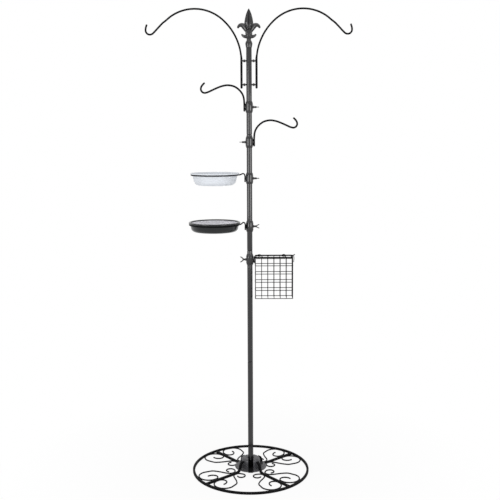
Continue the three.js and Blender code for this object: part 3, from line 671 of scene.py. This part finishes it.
def threaded(low, high, radius, pitch=0.9, depth=0.28, sides=20, tip=0.6):
    """Threaded shaft along Z: r = radius - depth |2 frac(z / pitch - a / 2 pi) - 1|, drawn in at both
    ends. It runs from low to high."""
    z = np.linspace(low, high, int((high - low) / pitch * 6))[:, None]
    a = round_angles(sides)[None]
    wave = np.abs(2 * ((z / pitch - a / (2 * np.pi)) % 1) - 1)
    ends = np.clip(np.minimum(z - low, high - z) / tip, 0.05, 1)
    r = (radius - depth * wave) * (0.8 + 0.2 * ends)
    rings = np.stack([r * np.cos(a), r * np.sin(a), z + 0 * a], -1)
    return skin(rings, (0, 0, low), (0, 0, high))


def hexagon_nut(middle, across, length, bore):
    """Hexagonal nut along Z: r(a) = (across / 2) / cos(a mod 60 - 30), cut back by a cone at both
    faces, with a plain bore."""
    a = round_angles(96)[None]
    flat = across / 2 / np.cos((a + np.pi / 6) % (np.pi / 3) - np.pi / 6)
    steps = np.array([0, 0.4, 0.9, length - 0.9, length - 0.4, length])[:, None]
    cone = across / 2 + 0.05 + 1.4 * np.minimum(steps, length - steps)
    outer = np.minimum(flat, cone)
    rows = [(np.full_like(a, bore), 0.3), *[(outer[k:k + 1], steps[k, 0]) for k in range(6)],
            (np.full_like(a, bore), length - 0.3)]
    rings = np.concatenate([np.stack([r * np.cos(a), r * np.sin(a), 0 * a + middle - length / 2 + z], -1)
                            for r, z in rows])
    return skin(rings)


def bolts():
    """Two threaded rods across the pole and both shanks, with a nut on each side of the pole."""
    end = SHANK_X + SHANK_HALF[0] - 0.2
    for level, height in BOLT_HEIGHTS.items():
        piece(f"bolt_{level}", [lying(threaded(-end, end, BOLT_R), 1, height)], BLACKENED, "stand",
              f"cross_bolt_{level}")
        for name, side in (("left", -1), ("right", 1)):
            nut = hexagon_nut(NUT_MIDDLE, NUT_ACROSS, NUT_LENGTH, BOLT_R + 0.1)
            piece(f"nut_{level}_{name}", [lying(nut, side, height)], BLACKENED, "stand",
                  f"arm_nut_{level}_{name}")


# ------------------------------------------------------------------ clamps


def clamp(name, height, side, wings_turn):
    """Moulded bush on the pole, steel collar in its groove with a boss, and a wing screw."""
    bush = eased([[9.9, -19.5], [10.6, -19.5], [12.7, -12.4], [11.35, -12.4], [11.35, 12.4], [12.7, 12.4],
                  [10.6, 19.5], [9.9, 19.5]], 0.5, 4)
    piece(f"{name}_sleeve", [turned(bush, 64, (0, 0, height), loop=True)], MOULDED, f"{name}_slider",
          f"{name}_bush")
    band = turned(eased([[11.65, -COLLAR_HALF], [COLLAR_OUT, -COLLAR_HALF], [COLLAR_OUT, COLLAR_HALF],
                         [11.65, COLLAR_HALF]], 0.6, 4), 72, (0, 0, height), loop=True)
    boss = turned(eased([[2.8, 11.9], [4.6, 11.9], [4.4, 16.6], [2.8, 16.6]], 0.6, 4), 40, loop=True)
    piece(f"{name}_band", [band, lying(boss, -side, height)], POLE_GREY, f"{name}_swivel", f"{name}_collar")
    shaft = lying(threaded(11.8, 19, 2.4), -side, 0)
    hub_line = eased([[0, 17.1], [3.3, 17.1], [3.4, 22], [2.6, 25.6], [0, 26]], 0.9, closed=False)
    ear = np.array([[20.5, 0.5], [24, 3.2], [28, 6.4], [31.6, 8.6], [34, 8.9]])
    c, s = math.cos(math.radians(wings_turn)), math.sin(math.radians(wings_turn))
    shells = []
    for up in (-1, 1):
        line = np.stack([-side * ear[:, 0], up * c * ear[:, 1], up * s * ear[:, 1]], 1)
        shells.append(rod(line, 1.1, [0, -s, c], sides=20, step=0.8, square=0.85,
                          halves=(([0, .4, .8, 1], [2.0, 1.9, 1.9, 1.3]), ([0, .4, 1], [1.5, 1.15, 0.95]))))
    shells += [shaft, lying(turned(hub_line, 32), -side, 0)]
    piece(f"{name}_wing_screw", [moved(shell, (0, 0, height)) for shell in shells], BLACKENED,
          f"{name}_wing", f"{name}_screw", crease=50)


# ------------------------------------------------------------------ what the clamps carry


def hook(name, height, side):
    """Small arched hook with an upturned end, its foot welded down the collar."""
    foot = COLLAR_OUT + 0.3 + HOOK_R
    route = np.vstack([[[foot, -15], [foot, -4], [foot, 8], [foot + 0.4, 18], [18.2, 30], [22.5, 43],
                        [33, 57], [50, 69], [72, 73.5], [92, 70.5], [110, 64], [128, 56], [139, 51]],
                       arc((150.5, 61.5), 13.4, -108, 18, 8), [[159.5, 73], [150.3, 82.4]]])
    line = upright(route, side) + [0, 0, height]
    welds = [bead((side * (COLLAR_OUT + 0.6), y, height + z), (1.2, 1.3, 5), 2) for y in (-1.6, 1.6)
             for z in (-6, 6)]
    piece(f"{name}_arch", [rod(line, HOOK_R, Y, tip=0.8, sides=18, step=2), *welds], SATIN_BLACK,
          f"{name}_swivel", f"{name}_rod")


def wire_ring(name, centre_x, ring_r, height, route, body):
    """Closed wire ring, with a stem that humps over to the clamp and runs down its collar."""
    a = round_angles(28)
    section = np.stack([ring_r + WIRE_R * np.cos(a), WIRE_R * np.sin(a)], 1)
    hoop = turned(section, 160, (centre_x, 0, height), loop=True)
    stem = rod(upright(route, -1), WIRE_R, Y, sides=16, step=1.5)
    weld = bead((centre_x + ring_r + 0.5, 0, height), (3.0, 3.4, 2.6), 4)
    down = route[-1][1] + 13
    seam = [bead((-COLLAR_OUT - 0.5, y, down), (1.1, 1.2, 6), 5) for y in (-1.4, 1.4)]
    piece(f"{name}_wire", [hoop, stem, weld, *seam], SATIN_BLACK, body, f"{name}_ring")


def water_dish():
    """Milky dish: bottom, curved wall with level ribs r - depth (0.5 + 0.5 sin(2 pi z / pitch)), and a
    flat lip that rests on the ring."""
    lip = DISH_RING_Z + WIRE_R + 0.3
    wall = smooth_route([[66, DISH_BOTTOM + 3], [71.5, 1043], [75.4, 1058], [78.3, lip - 0.6]], 0.7)
    ribs = RIB_DEPTH * (0.5 + 0.5 * np.sin(2 * np.pi * wall[:, 1] / RIB_PITCH))
    wall[:, 0] -= ribs * np.clip((lip - 1 - wall[:, 1]) / 2, 0, 1)
    outer = np.vstack([smooth_route([[30, DISH_BOTTOM], [56, DISH_BOTTOM], [62, DISH_BOTTOM + 0.9],
                                     [65.4, DISH_BOTTOM + 2.6]], 2), wall])
    inner = outer[::-1] + [-2.0, 0.4]
    inner[:, 1] = np.maximum(inner[:, 1], DISH_BOTTOM + 2)
    rim = [[84, lip], [84.4, lip + 2], [84.2, 1074.8], [82.6, 1074.8], [81.8, lip + 2]]
    profile = np.vstack([[[0, DISH_BOTTOM]], outer, eased(rim, 0.6, 3, closed=False), inner,
                         [[0, DISH_BOTTOM + 2]]])
    piece("clear_dish", [turned(profile, 144, (DISH_X, 0, 0))], CLEAR, "dish", "water_dish")


def tray_pan():
    """Dark pan: bottom, curved wall with one shallow waist, rolled rim, and a ledge for the net."""
    rim = TRAY_RING_Z + WIRE_R + 0.3
    outer = smooth_route([[40, TRAY_BOTTOM], [66, TRAY_BOTTOM], [73, 873], [78.4, 876.6], [81.4, 881.4],
                          [82.4, 886], [83.2, 889], [83.9, 894], [84.1, rim - 0.4]], 0.8)
    roll = smooth_route([[84.6, rim], [88.2, rim + 0.1], [90, rim + 2.6], [89.2, rim + 5.4],
                         [86.4, rim + 6.6], [83.6, rim + 5.8], [82.6, rim + 3.6]], 0.5)
    inner = eased([[82.4, NET_Z - 0.3], [79, NET_Z - 0.3], [79, NET_Z - 2], [81.4, 888], [79.6, 883],
                   [75, 877.4], [65, TRAY_BOTTOM + 1.8], [30, TRAY_BOTTOM + 1.8]], 2.0, 4, closed=False)
    profile = np.vstack([[[0, TRAY_BOTTOM]], outer, roll, inner, [[0, TRAY_BOTTOM + 1.8]]])
    piece("seed_pan", [turned(profile, 144, (TRAY_X, 0, 0))], GLOSSY_PAN, "tray", "tray_pan")


def seed_net():
    """Woven wire net: wires at y = i pitch whose height waves as cos(pi x / pitch + pi i), crossed by
    wires at x = i pitch that wave the other way, inside a flat hoop."""
    reach = NET_R - 2.2
    count = int(reach / NET_PITCH)
    i = np.arange(-count, count + 1)
    at = i[:, None] * NET_PITCH
    half = np.sqrt(reach ** 2 - at ** 2)
    t = np.linspace(-1, 1, 132)[None]
    along = half * t
    wave = NET_WIRE_R * 0.9 * np.cos(np.pi * along / NET_PITCH + np.pi * i[:, None])
    corner = np.radians([45, 135, 225, 315])
    side = NET_WIRE_R * np.cos(corner)
    up = NET_WIRE_R * np.sin(corner)
    middle = NET_Z + 0.8
    shells = []
    for turn, sign in ((False, 1), (True, -1)):
        grid = np.stack(np.broadcast_arrays(along[..., None], at[..., None] + side,
                                            middle + sign * wave[..., None] + up), -1)
        if turn:
            grid = grid[..., [1, 0, 2]]
        shells += [skin(wire, wire[0].mean(0), wire[-1].mean(0)) for wire in grid]
    hoop = turned(eased([[NET_R - 3, NET_Z], [NET_R, NET_Z], [NET_R, NET_Z + 1.4], [NET_R - 3, NET_Z + 1.4]],
                        0.4, 3), 144, loop=True)
    piece("seed_net", [moved(shell, (TRAY_X, 0, 0)) for shell in (*shells, hoop)], BRIGHT_NET, "tray",
          "tray_mesh", crease=60)


def level_loop(x0, x1, half, corner, height):
    """Level rectangle with rounded corners, as a closed route."""
    turns = [((x1 - corner, half - corner), 0), ((x0 + corner, half - corner), 90),
             ((x0 + corner, corner - half), 180), ((x1 - corner, corner - half), 270)]
    flat = np.vstack([arc(c, corner, a, a + 90, 7) for c, a in turns])
    return np.stack([flat[:, 0], flat[:, 1], np.full(len(flat), height)], 1)


def hoop_of(route, radius, sides=12):
    """Closed round wire along a level route."""
    closed = np.vstack([route, route[:1]])
    fine = at_stations(closed, np.linspace(0, 1, int(run(closed)[-1] / 3), endpoint=False))
    return skin(carried(fine, oval(radius, radius, 1.0, sides), Z, loop=True))


def bent(points, radius, flat):
    """Straight runs of wire with their corners eased over 3 mm, and round tips."""
    p = eased(points, 3.0, 6, closed=False)
    own, near = run(p) / run(p)[-1], radius / run(p)[-1]
    shares, scale = tipped(own[(own > near * 1.2) & (own < 1 - near * 1.2)], near, 4)
    outline = oval(radius * scale, radius * scale, 1.0, 12)
    return skin(carried(at_stations(p, shares), outline, flat), p[0], p[-1])


def cage_holder():
    """Rod frame round the cage's top, with a stem up from the clamp's collar."""
    frame_loop = hoop_of(level_loop(*CAGE_X, CAGE_HALF, 5, CAGE_TOP), CAGE_ROD_R, 16)
    stem = rod(upright([[STEM_X, 759], [STEM_X, 769], [STEM_X, 778], [16.2, 782.4], [18.4, 783.4]]),
               WIRE_R, Y, step=1)
    welds = [bead((18.6, 0, 783.6), (2.6, 3.6, 2.7), 6), bead((13.7, -1.4, 768), (1.1, 1.2, 5), 7),
             bead((13.7, 1.4, 768), (1.1, 1.2, 5), 8)]
    piece("cage_frame", [frame_loop, stem, *welds], SATIN_BLACK, "cage_swivel", "cage_holder")


def cage_basket():
    """Welded wire basket: upright U wires, level hoops lying outside them, and a rim wire in front."""
    x0, x1 = CAGE_X
    rim = CAGE_TOP - CAGE_ROD_R - 0.3 - RIM_WIRE_R
    deep = CAGE_HALF - 0.2
    shells = []
    for number, x in enumerate(np.linspace(x0, x1, CAGE_COLUMNS)):
        radius = CAGE_WIRE_R if number in (0, CAGE_COLUMNS - 1) else THIN_WIRE_R
        shells.append(bent([[x, -deep, rim + 2], [x, -deep, CAGE_BOTTOM], [x, deep, CAGE_BOTTOM],
                            [x, deep, rim + 2]], radius, X))
    for y in (-CAGE_HALF / 3, CAGE_HALF / 3):
        for x in CAGE_X:
            shells.append(bent([[x, y, CAGE_BOTTOM], [x, y, (rim + CAGE_BOTTOM) / 2], [x, y, rim + 2]],
                               THIN_WIRE_R, Y))
    for row in range(CAGE_ROWS):
        loop = level_loop(x0 - 0.7, x1 + 0.7, CAGE_HALF + 0.7, 3, CAGE_BOTTOM + ROW_PITCH * row)
        shells.append(hoop_of(loop, CAGE_WIRE_R))
    front = [[x, -CAGE_HALF, rim] for x in (x0, (x0 + x1) / 2, x1)]
    shells.append(bent(front, RIM_WIRE_R, Z))
    piece("wire_basket", shells, SATIN_BLACK, "cage_swivel", "cage_basket")


def cage_lid():
    """Wire lid inside the frame, with a thumb tab and a catch. Each eye is a coil round the back rod of
    radius 3.5 + 0.8 sin(pi u) at the share u of its length."""
    x0, x1 = CAGE_X[0] + 4.6, CAGE_X[1] - 4.6
    deep = CAGE_HALF - 4.6
    shells = [hoop_of(level_loop(x0, x1, deep, 2.5, CAGE_TOP), LID_WIRE_R)]
    for x in np.linspace(x0, x1, CAGE_COLUMNS)[1:-1]:
        shells.append(bent([[x, -deep, CAGE_TOP], [x, 0, CAGE_TOP], [x, deep, CAGE_TOP]], LID_WIRE_R, X))
    share = np.linspace(0, 1, 220)[:, None]
    a = np.radians(200 + 360 * EYE_TURNS * share)
    reach = 3.5 + 0.8 * np.sin(np.pi * share)
    for middle in LID_EYES:
        coil = np.hstack([middle - 5.2 + 10.4 * share, CAGE_HALF + reach * np.cos(a),
                          CAGE_TOP + reach * np.sin(a)])
        shells.append(coiled(coil, 0.6, 8))
    y, right = -CAGE_HALF / 3, CAGE_X[1]
    tab = upright([[x1 - 1, CAGE_TOP], [x1 + 1.5, 786.8], [right, 788], [right + 4, 788.6],
                   [right + 8, 792]], 1, y)
    catch = upright([[right + 3.6, 787.2], [right + 5, 783], [right + 5, 773], [right + 3.6, 764]], 1, y)
    shells.append(rod(tab, 1.8, Y, sides=14, step=0.8))
    shells.append(rod(catch, 1.0, Y, sides=12, step=1))
    piece("cage_lid_wires", shells, SATIN_BLACK, "lid", "cage_lid")


def coiled(route, radius, sides):
    """Round wire along any route in space, its outline kept square to a line along X."""
    tangent = np.gradient(route, axis=0)
    tangent /= np.linalg.norm(tangent, axis=1, keepdims=True)
    first = np.cross(tangent, X)
    first /= np.linalg.norm(first, axis=1, keepdims=True)
    second = np.cross(tangent, first)
    a = round_angles(sides)[None, :, None]
    rings = route[:, None] + radius * (np.cos(a) * first[:, None] + np.sin(a) * second[:, None])
    return skin(rings, route[0], route[-1])


# ------------------------------------------------------------------ making the stand

base_ring()
for number, spoke_name in enumerate(SPOKES):
    direction = BASE_TURN + 90 * number
    spoke(spoke_name, direction)
    scroll(spoke_name, direction, 1, "a")
    scroll(spoke_name, direction, -1, "b")
flange()
drum()
socket()
for pole_name, (pole_low, pole_high) in POLE_ENDS.items():
    pole(pole_name, pole_low, pole_high)
finial()
arm("left", -1)
arm("right", 1)
bolts()
for clamp_name, setting in CLAMPS.items():
    clamp(clamp_name, *setting)
hook("high_hook", *CLAMPS["high_hook"][:2])
hook("low_hook", *CLAMPS["low_hook"][:2])
wire_ring("dish", DISH_X, DISH_RING_R, DISH_RING_Z, [
    [39, 1068.5], [36, 1068.4], [33, 1068.3], [29, 1069.8], [24, 1072.2], [18.8, 1071.2], [STEM_X, 1064],
    [STEM_X, 1056], [STEM_X, 1043]], "dish_swivel")
wire_ring("tray", TRAY_X, TRAY_RING_R, TRAY_RING_Z, [
    [37, 896.6], [34, 896.5], [31, 896.6], [27.5, 899], [23, 903], [18.6, 902.4], [STEM_X, 896],
    [STEM_X, 888], [STEM_X, 876]], "tray_swivel")
water_dish()
tray_pan()
seed_net()
cage_holder()
cage_basket()
cage_lid()

# ------------------------------------------------------------------ floor, light and camera


# Metres: the floor's half side, and the distances from the pole between which its shade fades. Near
# the pole the floor is this share plain white. The surroundings light the stand at their own level.
FLOOR_REACH, SHADE_NEAR, SHADE_FAR = 9.0, 0.25, 0.9
PLAIN_SHARE, SURROUNDINGS = 0.92, 0.5
LAMPS = {  # place, point that it faces, width and height, all in metres, and power in watts
    "left_box": ((-1.44, -1.66, 1.2), (0, 0, 1.2), (0.95, 1.15), 18),
    "right_box": ((1.44, -1.66, 1.06), (0, 0, 1.06), (0.95, 0.88), 14.5),
    "overhead": ((0.2, -0.3, 3.1), (0, 0, 0.4), (2.0, 2.0), 9),
}
CAMERA_PLACE, CAMERA_DOWN, CAMERA_ROLL = (0, -2.751, 1.2063), 8.2754, -0.26
LENS, SHIFT = 57.26, 0.0004


def seen(tree):
    """1 on the rays with which the camera, gloss and clear plastic see a thing, and 0 on the others."""
    ray = add(tree, "ShaderNodeLightPath")
    both = math_node(tree, "MAXIMUM", ray.outputs["Is Camera Ray"], ray.outputs["Is Glossy Ray"])
    return math_node(tree, "MAXIMUM", both, ray.outputs["Is Transmission Ray"])


def studio_floor():
    """Pale floor that keeps the stand's shadow near it and fades to plain white further out."""
    mesh = bpy.data.meshes.new("studio_floor")
    a = FLOOR_REACH
    mesh.from_pydata([(-a, -a, 0), (a, -a, 0), (a, a, 0), (-a, a, 0)], [], [(0, 1, 2, 3)])
    material, tree = new_material("pale_floor")
    tree.nodes.clear()
    place = add(tree, "ShaderNodeTexCoord").outputs["Object"]
    away = add(tree, "ShaderNodeVectorMath", {0: place}, operation="LENGTH").outputs["Value"]
    fade = ranged(tree, away, SHADE_NEAR, SHADE_FAR, PLAIN_SHARE, 1.0)
    share = math_node(tree, "MULTIPLY", seen(tree), fade)
    lit = add(tree, "ShaderNodeBsdfDiffuse", {"Color": (0.9, 0.9, 0.9, 1)}).outputs[0]
    plain = add(tree, "ShaderNodeEmission", {"Color": (1, 1, 1, 1), "Strength": 1.0}).outputs[0]
    mix = add(tree, "ShaderNodeMixShader", {"Fac": share, 1: lit, 2: plain})
    add(tree, "ShaderNodeOutputMaterial", {"Surface": mix.outputs[0]})
    mesh.materials.append(material)
    in_scene("studio_floor", mesh)


def studio_world():
    """White surroundings, seen at strength 1, that light the stand at a softer level."""
    world = bpy.data.worlds.new("studio")
    world.use_nodes = True
    tree = world.node_tree
    level = ranged(tree, seen(tree), 0.0, 1.0, SURROUNDINGS, 1.0)
    feed(tree, tree.nodes["Background"].inputs["Color"], (1, 1, 1, 1))
    feed(tree, tree.nodes["Background"].inputs["Strength"], level)
    bpy.context.scene.world = world


def soft_light(name, place, aim, size, power):
    """Soft rectangular lamp at a place, turned towards a point."""
    lamp = bpy.data.lights.new(name, "AREA")
    lamp.shape = "RECTANGLE"
    lamp.size, lamp.size_y = size
    lamp.energy = power
    z = np.array(place, float) - aim
    z /= np.linalg.norm(z)
    x = np.cross(Z, z)
    x /= np.linalg.norm(x)
    rows = np.stack([x, np.cross(z, x), z, place], 1)
    in_scene(name, lamp).matrix_world = Matrix([*rows.tolist(), [0, 0, 0, 1]])


def camera():
    """Camera in front, a little above the low hook's clamp, looking slightly down."""
    data = bpy.data.cameras.new("front_view")
    data.lens = LENS
    data.shift_x = SHIFT
    obj = in_scene("front_view", data)
    tilt = Matrix.Rotation(math.radians(90 - CAMERA_DOWN), 4, "X")
    roll = Matrix.Rotation(math.radians(CAMERA_ROLL), 4, "Z")
    obj.matrix_world = Matrix.Translation(CAMERA_PLACE) @ tilt @ roll
    bpy.context.scene.camera = obj


studio_floor()
studio_world()
for lamp_name, lamp_setting in LAMPS.items():
    soft_light(lamp_name, *lamp_setting)
camera()
bpy.context.scene.view_settings.view_transform = "Standard"
